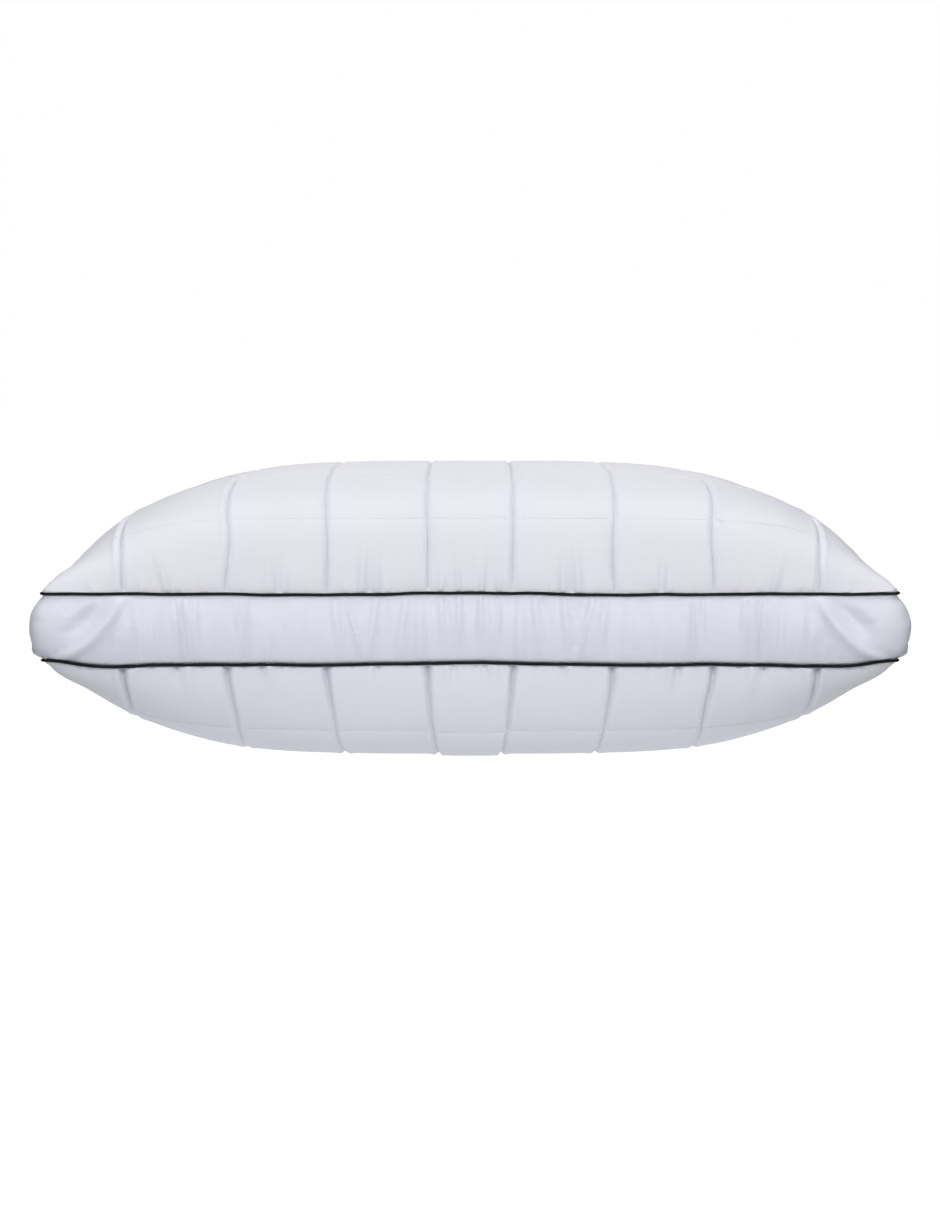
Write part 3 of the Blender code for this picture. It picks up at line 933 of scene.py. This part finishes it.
# ---------------------------------------------------------------------------------------------
# Gusset. One plain strip of the same cotton is sewn between the two pipings all round. It is a
# little longer than the seams it is sewn to, so it bulges and falls into soft upright folds.
GUSSET_BULGE = 0.009
GUSSET_CLOTH = 0.0005
GUSSET_ROWS = 12
GUSSET_SPARE = 0.03
GUSSET_FINE_ROWS = 24
GUSSET_COLUMNS = 560
GUSSET_PRESSURE = 2.0
UNEVENNESS = 0.0002
UNEVEN_SEED = 5

rim_order = rim_numbers(len(detail_columns), len(detail_rows))
seam_plan = panel_layers["top"].base.reshape(-1, 3)[rim_order, :2]
seam_out = loop_outward(seam_plan)
seam_steps = np.linalg.norm(np.roll(seam_plan, -1, 0) - seam_plan, axis=1)
seam_place = np.append(0, np.cumsum(seam_steps))
top_rise = seam_rise("top", seam_plan)
bottom_rise = seam_rise("bottom", seam_plan)


def gusset_surface(plan, outward, low, high, shares, bulge):
    """The strip's outside between the two seams. Shares run from -1 below to 1 above."""
    middle, reach = (high + low) / 2, (high - low) / 2
    rows = []
    for share in shares:
        out = bulge * (1 - share * share) * (reach / np.max(reach))
        rows.append(np.column_stack([plan + outward * out[:, None], middle + reach * share]))
    return np.array(rows)


def ring_faces(count, size, closed=True):
    """Quads between loops that follow one another, facing out for loops that climb."""
    number = np.arange(count * size).reshape(count, size)
    upper = np.roll(number, -1, 0) if closed else number[1:]
    lower = number if closed else number[:-1]
    corners = lower, np.roll(lower, -1, 1), np.roll(upper, -1, 1), upper
    return np.stack([corner.ravel() for corner in corners], axis=1)


def ring_piece(name, loops, place, material):
    """A closed ring swept round the seam from loops of points that follow its outline."""
    count, size = loops.shape[:2]
    faces = ring_faces(count, size)
    steps = np.linalg.norm(np.roll(loops, -1, 0) - loops, axis=2).mean(axis=1)
    girth = np.append(0, np.cumsum(steps))
    u = np.stack([place[:-1], place[1:], place[1:], place[:-1]], axis=1)
    u = np.broadcast_to(u[None], (count, size, 4)).reshape(-1)
    v = np.stack([girth[:-1], girth[:-1], girth[1:], girth[1:]], axis=1)
    v = np.broadcast_to(v[:, None], (count, size, 4)).reshape(-1)
    return link_mesh(name, loops.reshape(-1, 3), faces, np.stack([u, v], axis=1), material)


low_rim = BOTTOM_SEAM + RIM_LIFT + bottom_rise
high_rim = TOP_SEAM - RIM_LIFT + top_rise
fine_rows = np.linspace(-1, 1, GUSSET_FINE_ROWS + 1)
gusset_base = gusset_surface(seam_plan, seam_out, low_rim, high_rim, fine_rows, GUSSET_BULGE)

coarse_loop = np.arange(0, 4, 4 / GUSSET_COLUMNS)
coarse_plan = read_loop(eased_loop, coarse_loop)
coarse_out = loop_outward(coarse_plan)
coarse_low = BOTTOM_SEAM + RIM_LIFT + seam_rise("bottom", coarse_plan)
coarse_high = TOP_SEAM - RIM_LIFT + seam_rise("top", coarse_plan)
coarse_rows = np.linspace(-1, 1, GUSSET_ROWS + 1)
start = gusset_surface(coarse_plan, coarse_out, coarse_low, coarse_high, coarse_rows, GUSSET_BULGE)
wobble = np.random.default_rng(UNEVEN_SEED).normal(0, UNEVENNESS, start.shape[:2])
wobble[0] = wobble[-1] = 0
start += wobble[..., None] * np.column_stack([coarse_out, np.zeros(len(coarse_out))])[None]
cut = start * np.array([1 + GUSSET_SPARE, 1 + GUSSET_SPARE, 1.0])
quads = ring_faces(*start.shape[:2], closed=False)
size = start.shape[1]
held = np.concatenate([np.arange(size), np.arange(size) + GUSSET_ROWS * size])
ends = simulate_cloth(
    "gusset_inflation", start.reshape(-1, 3), quads, cut.reshape(-1, 3),
    held, GUSSET_PRESSURE, **INFLATION)
ends = ends.reshape(start.shape)
across = spline_weights(coarse_rows, fine_rows)
ends = np.tensordot(across, ends, axes=1)
loop_of_rim = np.concatenate([
    (detail_columns[:-1] / HALF_LENGTH + 1) / 2,
    1 + (detail_rows[:-1] / HALF_DEPTH + 1) / 2,
    2 + (1 - detail_columns[:0:-1] / HALF_LENGTH) / 2,
    3 + (1 - detail_rows[:0:-1] / HALF_DEPTH) / 2])
place = loop_of_rim / 4 * len(coarse_loop)
i = place.astype(int)
f = (place - i)[:, None]
size = len(coarse_loop)
p0, p1, p2, p3 = (ends[:, (i + k) % size] for k in (-1, 0, 1, 2))
gusset_outer = 0.5 * (2 * p1 + (p2 - p0) * f + (2 * p0 - 5 * p1 + 4 * p2 - p3) * f**2
                      + (3 * p1 - p0 - 3 * p2 + p3) * f**3)
gusset_outer[0], gusset_outer[-1] = gusset_base[0], gusset_base[-1]

# Its spare length stands in upright folds, with one long slanting fold towards each corner and
# small level creases where the strip turns the corner. Each front fold is (distance from the
# middle, height, width, lean, centre, tallness), and lies on both halves.
FRONT_FOLDS = (
    (0.0087, 0.0012, 0.0030, 0.000, 0.3, 0.9), (0.0160, 0.0006, 0.0026, 0.000, 0.5, 0.6),
    (0.0218, 0.0010, 0.0030, 0.001, 0.2, 0.8), (0.0394, 0.0016, 0.0040, 0.000, -0.3, 0.9),
    (0.0539, 0.0012, 0.0032, -0.004, 0.1, 1.0), (0.0656, 0.0007, 0.0030, 0.000, 0.4, 0.5),
    (0.0772, 0.0013, 0.0036, -0.004, 0.1, 1.0), (0.0903, 0.0012, 0.0026, 0.007, 0.0, 1.1),
    (0.1034, 0.0011, 0.0040, 0.004, 0.3, 0.8), (0.1253, 0.0007, 0.0050, 0.000, 0.0, 1.0),
    (0.1420, 0.0005, 0.0040, 0.000, 0.0, 1.0), (0.1588, 0.0008, 0.0050, 0.000, -0.4, 0.8),
    (0.1754, 0.0012, 0.0026, 0.000, 0.0, 1.2), (0.1821, 0.0008, 0.0026, 0.000, 0.5, 0.6),
    (0.1960, -0.0005, 0.0050, 0.000, 0.0, 1.0), (0.2156, 0.0009, 0.0032, 0.000, 0.4, 0.7),
    (0.2258, 0.0018, 0.0030, 0.003, 0.0, 1.2), (0.2346, 0.0008, 0.0026, 0.000, 0.3, 0.9),
    (0.2404, 0.0008, 0.0026, 0.000, 0.3, 0.9), (0.2506, 0.0007, 0.0040, 0.000, -0.2, 0.8),
    (0.2579, 0.0007, 0.0030, 0.000, -0.2, 0.8), (0.2681, 0.0015, 0.0050, 0.000, -0.2, 0.9))
FOLD_SEED = 31
FOLD_TAPER = 0.25
FOLD_VALLEY = 0.8
FOLD_SPACING = 0.0145
FOLD_GAPS = (0.45, 1.6)
FOLD_HEIGHT = (0.0006, 0.0019)
FOLD_WIDTH = (0.0030, 0.0062)
FOLD_CENTRES = [-0.5, 0, 0.45, 0.6]
FOLD_TALLNESS = (0.45, 1.3)
FOLD_LEAN = 0.005
FREE_OF_CORNER = 0.03
EDGE_HOLD = 12
CORNER_FOLD = 0.0062
FOLD_STRENGTH = 2.7
FOLD_BREADTH = 1.3
CORNER_FOLD_WIDTH = 0.0055
CORNER_LINE = (0.002, 0.050, 0.6)
HOLLOW_DEPTH = 1.25
HOLLOW_OFFSET = 0.013
HOLLOW_WIDTH = 0.0080
HOLLOW_CENTRE = 0.32
HOLLOW_TALLNESS = 0.40
CORNER_BULGE = 0.0042
CORNER_BULGE_REACH = 0.022
CORNER_BULGE_LOWER = 0.2
CORNER_CREASES = ((0.55, 0.0005), (0.28, 0.0004), (-0.05, 0.0006))
CREASE_STAGGER = 0.06
CREASE_THICKNESS = 0.055
CREASE_PLACE = 0.020
CREASE_SPAN = 0.014


def fold(away, up, height, width, lean, centre, tall):
    """One upright fold's height over distances from its foot and shares up the strip."""
    x = (away - lean * up) / (width * (1 - FOLD_TAPER * up))
    return height * (1 - FOLD_VALLEY * x * x) * np.exp(-x * x) * np.exp(-(((up - centre) / tall) ** 2))


def gusset_folds():
    """How far the folds stand out, as rows across the strip and columns round it."""
    random = np.random.default_rng(FOLD_SEED)
    length = seam_place[-1]
    around, up = seam_place[:-1][None, :], fine_rows[:, None]
    relief = np.zeros((len(fine_rows), len(seam_place) - 1))
    count_u, count_v = len(detail_columns) - 1, len(detail_rows) - 1
    front = seam_place[count_u]
    for place, height, width, *lie in FRONT_FOLDS:
        for side in (-1, 1):
            along = (around - front / 2) * side - place
            relief += fold(along, up, FOLD_STRENGTH * height, FOLD_BREADTH * width, *lie)
    place = front + FREE_OF_CORNER
    while place < length - FREE_OF_CORNER - FOLD_SPACING:
        place += FOLD_SPACING * random.uniform(*FOLD_GAPS)
        height, width = random.uniform(*FOLD_HEIGHT), random.uniform(*FOLD_WIDTH)
        centre, tall = random.choice(FOLD_CENTRES), random.uniform(*FOLD_TALLNESS)
        lean = random.uniform(-FOLD_LEAN, FOLD_LEAN)
        relief += fold(around - place, up, height, width, lean, centre, tall)
    corners = seam_place[[0, count_u, count_u + count_v, 2 * count_u + count_v]]
    for number, corner in enumerate(corners):
        away = (around - corner + length / 2) % length - length / 2
        swell = (1 - up**4) * (1 - CORNER_BULGE_LOWER * up)
        relief += CORNER_BULGE * np.exp(-((away / CORNER_BULGE_REACH) ** 2)) * swell
        for sign in (-1, 1):
            side = away * sign
            line = CORNER_LINE[0] + CORNER_LINE[1] * ((up + 1) / 2) ** CORNER_LINE[2]
            x = (side - line) / CORNER_FOLD_WIDTH
            relief += CORNER_FOLD * np.exp(-x * x) * (1 - FOLD_TAPER * up)
            x = (side - line + HOLLOW_OFFSET) / HOLLOW_WIDTH
            hollow = np.exp(-x * x) * np.exp(-(((up - HOLLOW_CENTRE) / HOLLOW_TALLNESS) ** 2))
            relief -= HOLLOW_DEPTH * CORNER_FOLD * hollow
            for level, deep in CORNER_CREASES:
                x = (up - level - CREASE_STAGGER * number * sign) / CREASE_THICKNESS
                span = np.exp(-(((side - CREASE_PLACE) / CREASE_SPAN) ** 2))
                relief -= deep * np.exp(-x * x) * span
    return relief * (1 - np.abs(fine_rows[:, None]) ** EDGE_HOLD)


gusset_flat = np.column_stack([seam_out, np.zeros(len(seam_out))])
gusset_outer = gusset_outer + gusset_folds()[..., None] * gusset_flat[None]
gusset_inner = gusset_outer - gusset_flat[None] * GUSSET_CLOTH
gusset_cotton = fabric("gusset_cotton", roughness=0.44, sheen=0.10, specular=0.55)
weave_nodes(
    gusset_cotton, pitch=0.00045, slub=0.0010, streak=0.02, relief=0.00005,
    tint=((0.785, 0.797, 0.890), (0.765, 0.777, 0.866)))
gusset = ring_piece("gusset", np.concatenate([gusset_outer, gusset_inner[::-1]]), seam_place, gusset_cotton)
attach(gusset, "root")
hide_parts("gusset_band")

# ---------------------------------------------------------------------------------------------
# Pipings. A thin filler cord lies in a folded bias strip of black satin, whose two legs are
# caught in the seam between panel and gusset, so that only the round fold shows.
CORD_DIAMETER = 0.0012
CORD_CLEARANCE = 0.0001
COVER_CLOTH = 0.0004
SEAM_ALLOWANCE = 0.005
PIPING_RADIUS = CORD_DIAMETER / 2 + CORD_CLEARANCE + COVER_CLOTH
BULB_STEPS = 14
CORD_STEPS = 12

black_satin = fabric("black_satin", roughness=0.55, sheen=0.0, specular=0.14)
weave_nodes(
    black_satin, pitch=0.0006, slub=0.0009, streak=0.15, relief=0.00005,
    tint=((0.005, 0.005, 0.006), (0.008, 0.008, 0.010)))
filler_cotton = fabric("filler_cotton", roughness=0.9, sheen=0.2, specular=0.2)
weave_nodes(
    filler_cotton, pitch=0.0012, slub=0.0012, streak=0.05, relief=0.0002,
    tint=((0.72, 0.71, 0.66), (0.66, 0.65, 0.60)))


def swept(profile, height, rise):
    """Loops of points that carry an outline of (outward, upward) points round the seam."""
    loops = []
    for outward, upward in profile:
        plan = seam_plan + seam_out * outward
        loops.append(np.column_stack([plan, height + rise + upward]))
    return np.array(loops)


def bulb(radius, leg):
    """The round part of the piping's outline, from its lower leg to its upper one."""
    mouth = math.pi - math.asin(leg / radius)
    angles = np.linspace(-mouth, mouth, BULB_STEPS + 1)
    middle = PIPING_RADIUS + GAP
    return [(middle + radius * math.cos(angle), radius * math.sin(angle)) for angle in angles]


for name, height, rise in (("top", TOP_SEAM, top_rise), ("bottom", BOTTOM_SEAM, bottom_rise)):
    slit, leg = GAP / 2, GAP / 2 + COVER_CLOTH
    outline = bulb(PIPING_RADIUS, leg) + [(-SEAM_ALLOWANCE, leg), (-SEAM_ALLOWANCE, slit)]
    outline += bulb(PIPING_RADIUS - COVER_CLOTH, slit)[::-1]
    outline += [(-SEAM_ALLOWANCE, -slit), (-SEAM_ALLOWANCE, -leg)]
    cover = ring_piece(name + "_piping", swept(outline, height, rise), seam_place, black_satin)
    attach(cover, "root")
    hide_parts(name + "_piping_cover")
    turns = np.arange(CORD_STEPS) * 2 * math.pi / CORD_STEPS
    middle = PIPING_RADIUS + GAP
    radius = CORD_DIAMETER / 2
    circle = [(middle + radius * math.cos(turn), radius * math.sin(turn)) for turn in turns]
    cord = ring_piece(name + "_piping_filler", swept(circle, height, rise), seam_place, filler_cotton)
    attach(cord, "root")
    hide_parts(name + "_piping_cord")

# ---------------------------------------------------------------------------------------------
# Quilting stitches. A white lockstitch thread runs along every quilting line. Each stitch lies on
# the cloth and dives into it at both ends, with a small gap before the next.
STITCH_PITCH = 0.0031
STITCH_LENGTH = 0.0025
THREAD_RADIUS = 0.0003
COLUMN_LIFT = -0.0004
ROW_LIFT = 0.0002
BALL_SEGMENTS = 6
BALL_RINGS = 5
SMALLEST_STITCH = (0.9, 0.9, 0.86)
LARGEST_STITCH = (1.1, 1.1, 1.08)
STITCH_SEED = 3
THREAD_FLECKS = 900
THREAD_COLOURS = ((0.80, 0.80, 0.84), (0.92, 0.92, 0.95))


def stitching_tree():
    """Geometry nodes that lay stitches of one length, evenly, along the edges they are given."""
    tree = bpy.data.node_groups.new("stitching", "GeometryNodeTree")
    face = tree.interface
    face.new_socket("Lines", in_out="INPUT", socket_type="NodeSocketGeometry")
    for name in ("Pitch", "Stitch length", "Thread radius"):
        face.new_socket(name, in_out="INPUT", socket_type="NodeSocketFloat")
    face.new_socket("Thread", in_out="INPUT", socket_type="NodeSocketMaterial")
    face.new_socket("Stitches", in_out="OUTPUT", socket_type="NodeSocketGeometry")
    given, result = tree.nodes.new("NodeGroupInput"), tree.nodes.new("NodeGroupOutput")
    curve = add_node(tree, "GeometryNodeMeshToCurve", {0: given.outputs["Lines"]})
    spots = add_node(tree, "GeometryNodeCurveToPoints", {
        0: curve.outputs[0], "Length": given.outputs["Pitch"]}, mode="LENGTH")
    ball = add_node(tree, "GeometryNodeMeshUVSphere", {
        "Segments": BALL_SEGMENTS, "Rings": BALL_RINGS, "Radius": 1})
    half = add_node(tree, "ShaderNodeMath", {0: given.outputs["Stitch length"], 1: 0.5}, operation="MULTIPLY")
    thick = given.outputs["Thread radius"]
    size = add_node(tree, "ShaderNodeCombineXYZ", {0: thick, 1: thick, 2: half.outputs[0]})
    shaped = add_node(tree, "GeometryNodeTransform", {"Geometry": ball.outputs[0], "Scale": size.outputs[0]})
    uneven = add_node(tree, "FunctionNodeRandomValue", {
        "Min": SMALLEST_STITCH, "Max": LARGEST_STITCH, "Seed": STITCH_SEED}, data_type="FLOAT_VECTOR")
    copies = add_node(tree, "GeometryNodeInstanceOnPoints", {
        "Points": spots.outputs["Points"], "Instance": shaped.outputs[0],
        "Rotation": spots.outputs["Rotation"], "Scale": uneven.outputs[0]})
    real = add_node(tree, "GeometryNodeRealizeInstances", {0: copies.outputs[0]})
    painted = add_node(tree, "GeometryNodeSetMaterial", {
        "Geometry": real.outputs[0], "Material": given.outputs["Thread"]})
    tree.links.new(painted.outputs[0], result.inputs[0])
    return tree


def sewn_numbers(lines, sewn):
    """Which of the lines are quilting lines."""
    return [int(np.argmin(np.abs(lines - place * side))) for place in sewn for side in (-1, 1)]


def quilting_lines(layers):
    """Points and edges of every quilting line of a panel, lying in its grooves."""
    low = layers.outside + layers.normals * COLUMN_LIFT
    high = layers.outside + layers.normals * ROW_LIFT
    columns = sewn_numbers(detail_columns, QUILT_COLUMNS)
    rows = sewn_numbers(detail_rows, QUILT_ROWS)
    points, edges = [], []
    for line in [low[i, 1:-1] for i in columns] + [high[1:-1, j] for j in rows]:
        first = len(points)
        line[:, 2] = np.maximum(line[:, 2], THREAD_RADIUS)
        points += line.tolist()
        edges += [(first + k, first + k + 1) for k in range(len(line) - 1)]
    return points, edges


thread = fabric("quilting_thread", roughness=0.6, sheen=0.1, specular=0.3)
thread_tree = thread.node_tree
thread_place = add_node(thread_tree, "ShaderNodeTexCoord", {})
thread_noise = add_node(thread_tree, "ShaderNodeTexNoise", {
    "Vector": thread_place.outputs["Object"], "Scale": THREAD_FLECKS})
thread_tone = add_node(thread_tree, "ShaderNodeMix", {
    0: thread_noise.outputs["Fac"], 6: (*THREAD_COLOURS[0], 1), 7: (*THREAD_COLOURS[1], 1)}, data_type="RGBA")
thread_shader = thread_tree.nodes["Principled BSDF"]
thread_tree.links.new(thread_tone.outputs[2], thread_shader.inputs["Base Color"])

stitching = stitching_tree()
for panel in (TOP, BOTTOM):
    line_mesh = bpy.data.meshes.new(panel.name + "_quilting_lines")
    points, edges = quilting_lines(panel_layers[panel.name])
    line_mesh.from_pydata(points, edges, [])
    lines = bpy.data.objects.new(panel.name + "_quilting_lines", line_mesh)
    bpy.context.scene.collection.objects.link(lines)
    sewing = lines.modifiers.new("stitching", "NODES")
    sewing.node_group = stitching
    sockets = {item.name: item.identifier for item in stitching.interface.items_tree}
    sewing[sockets["Pitch"]] = STITCH_PITCH
    sewing[sockets["Stitch length"]] = STITCH_LENGTH
    sewing[sockets["Thread radius"]] = THREAD_RADIUS
    sewing[sockets["Thread"]] = thread
    bpy.context.view_layer.update()
    graph = bpy.context.evaluated_depsgraph_get()
    stitch_mesh = bpy.data.meshes.new_from_object(lines.evaluated_get(graph))
    bpy.data.objects.remove(lines)
    stitch_mesh.shade_smooth()
    stitches = bpy.data.objects.new(panel.name + "_quilting", stitch_mesh)
    bpy.context.scene.collection.objects.link(stitches)
    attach(stitches, "root")

# ---------------------------------------------------------------------------------------------
# Fibre filling. Loose polyester fibre, blown in through a gap in the seam, fills the panels and
# presses the gusset out.
FILL_CLEARANCE = 0.0012
FILL_LEVELS = (3, 6, 9, 12, 15, 18, 21)


def fill_face(panel):
    """The filling's face under one panel."""
    layers = panel_layers[panel.name]
    depth = np.maximum(backing_depths[panel.name] + BACKING, SEAM_ALLOWANCE) + FILL_CLEARANCE
    return kept(layers.base) - kept(layers.normals) * depth[..., None]


top_fill, bottom_fill = fill_face(TOP), fill_face(BOTTOM)
fill_shape = top_fill.shape[:2]
fill_rim = rim_numbers(*fill_shape)
fine_size = len(detail_columns) * len(detail_rows)
picked = kept(np.arange(fine_size).reshape(len(detail_columns), -1))
picked = picked.ravel()[fill_rim]
order = np.full(fine_size, -1)
order[rim_order] = np.arange(len(rim_order))
ring_pick = order[picked]
inset = gusset_outer[:, ring_pick] - gusset_flat[ring_pick][None] * (GUSSET_CLOTH + FILL_CLEARANCE)
fill_levels = [inset[k] for k in FILL_LEVELS]
grid_size = fill_shape[0] * fill_shape[1]
ring_size = len(fill_rim)
fill_points = np.concatenate([bottom_fill.reshape(-1, 3), top_fill.reshape(-1, 3), *fill_levels])
fill_quads = grid_quads(*fill_shape)
numbers = [fill_rim]
numbers += [2 * grid_size + k * ring_size + np.arange(ring_size) for k in range(len(fill_levels))]
numbers.append(fill_rim + grid_size)
bands = [np.stack([low, np.roll(low, -1), np.roll(high, -1), high], axis=1)
         for low, high in zip(numbers, numbers[1:])]
fill_faces = np.concatenate([fill_quads[:, ::-1], fill_quads + grid_size, *bands])
fibre_white = fabric("fibre_white", roughness=0.98, sheen=0.4, specular=0.05)
weave_nodes(
    fibre_white, pitch=0.004, slub=0.006, streak=0.05, relief=0.0006,
    tint=((0.86, 0.86, 0.86), (0.78, 0.78, 0.78)))
fibre = link_mesh("fibre", fill_points, fill_faces, fill_points[fill_faces.ravel()][:, :2], fibre_white)
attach(fibre, "root")
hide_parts("fibre_fill")
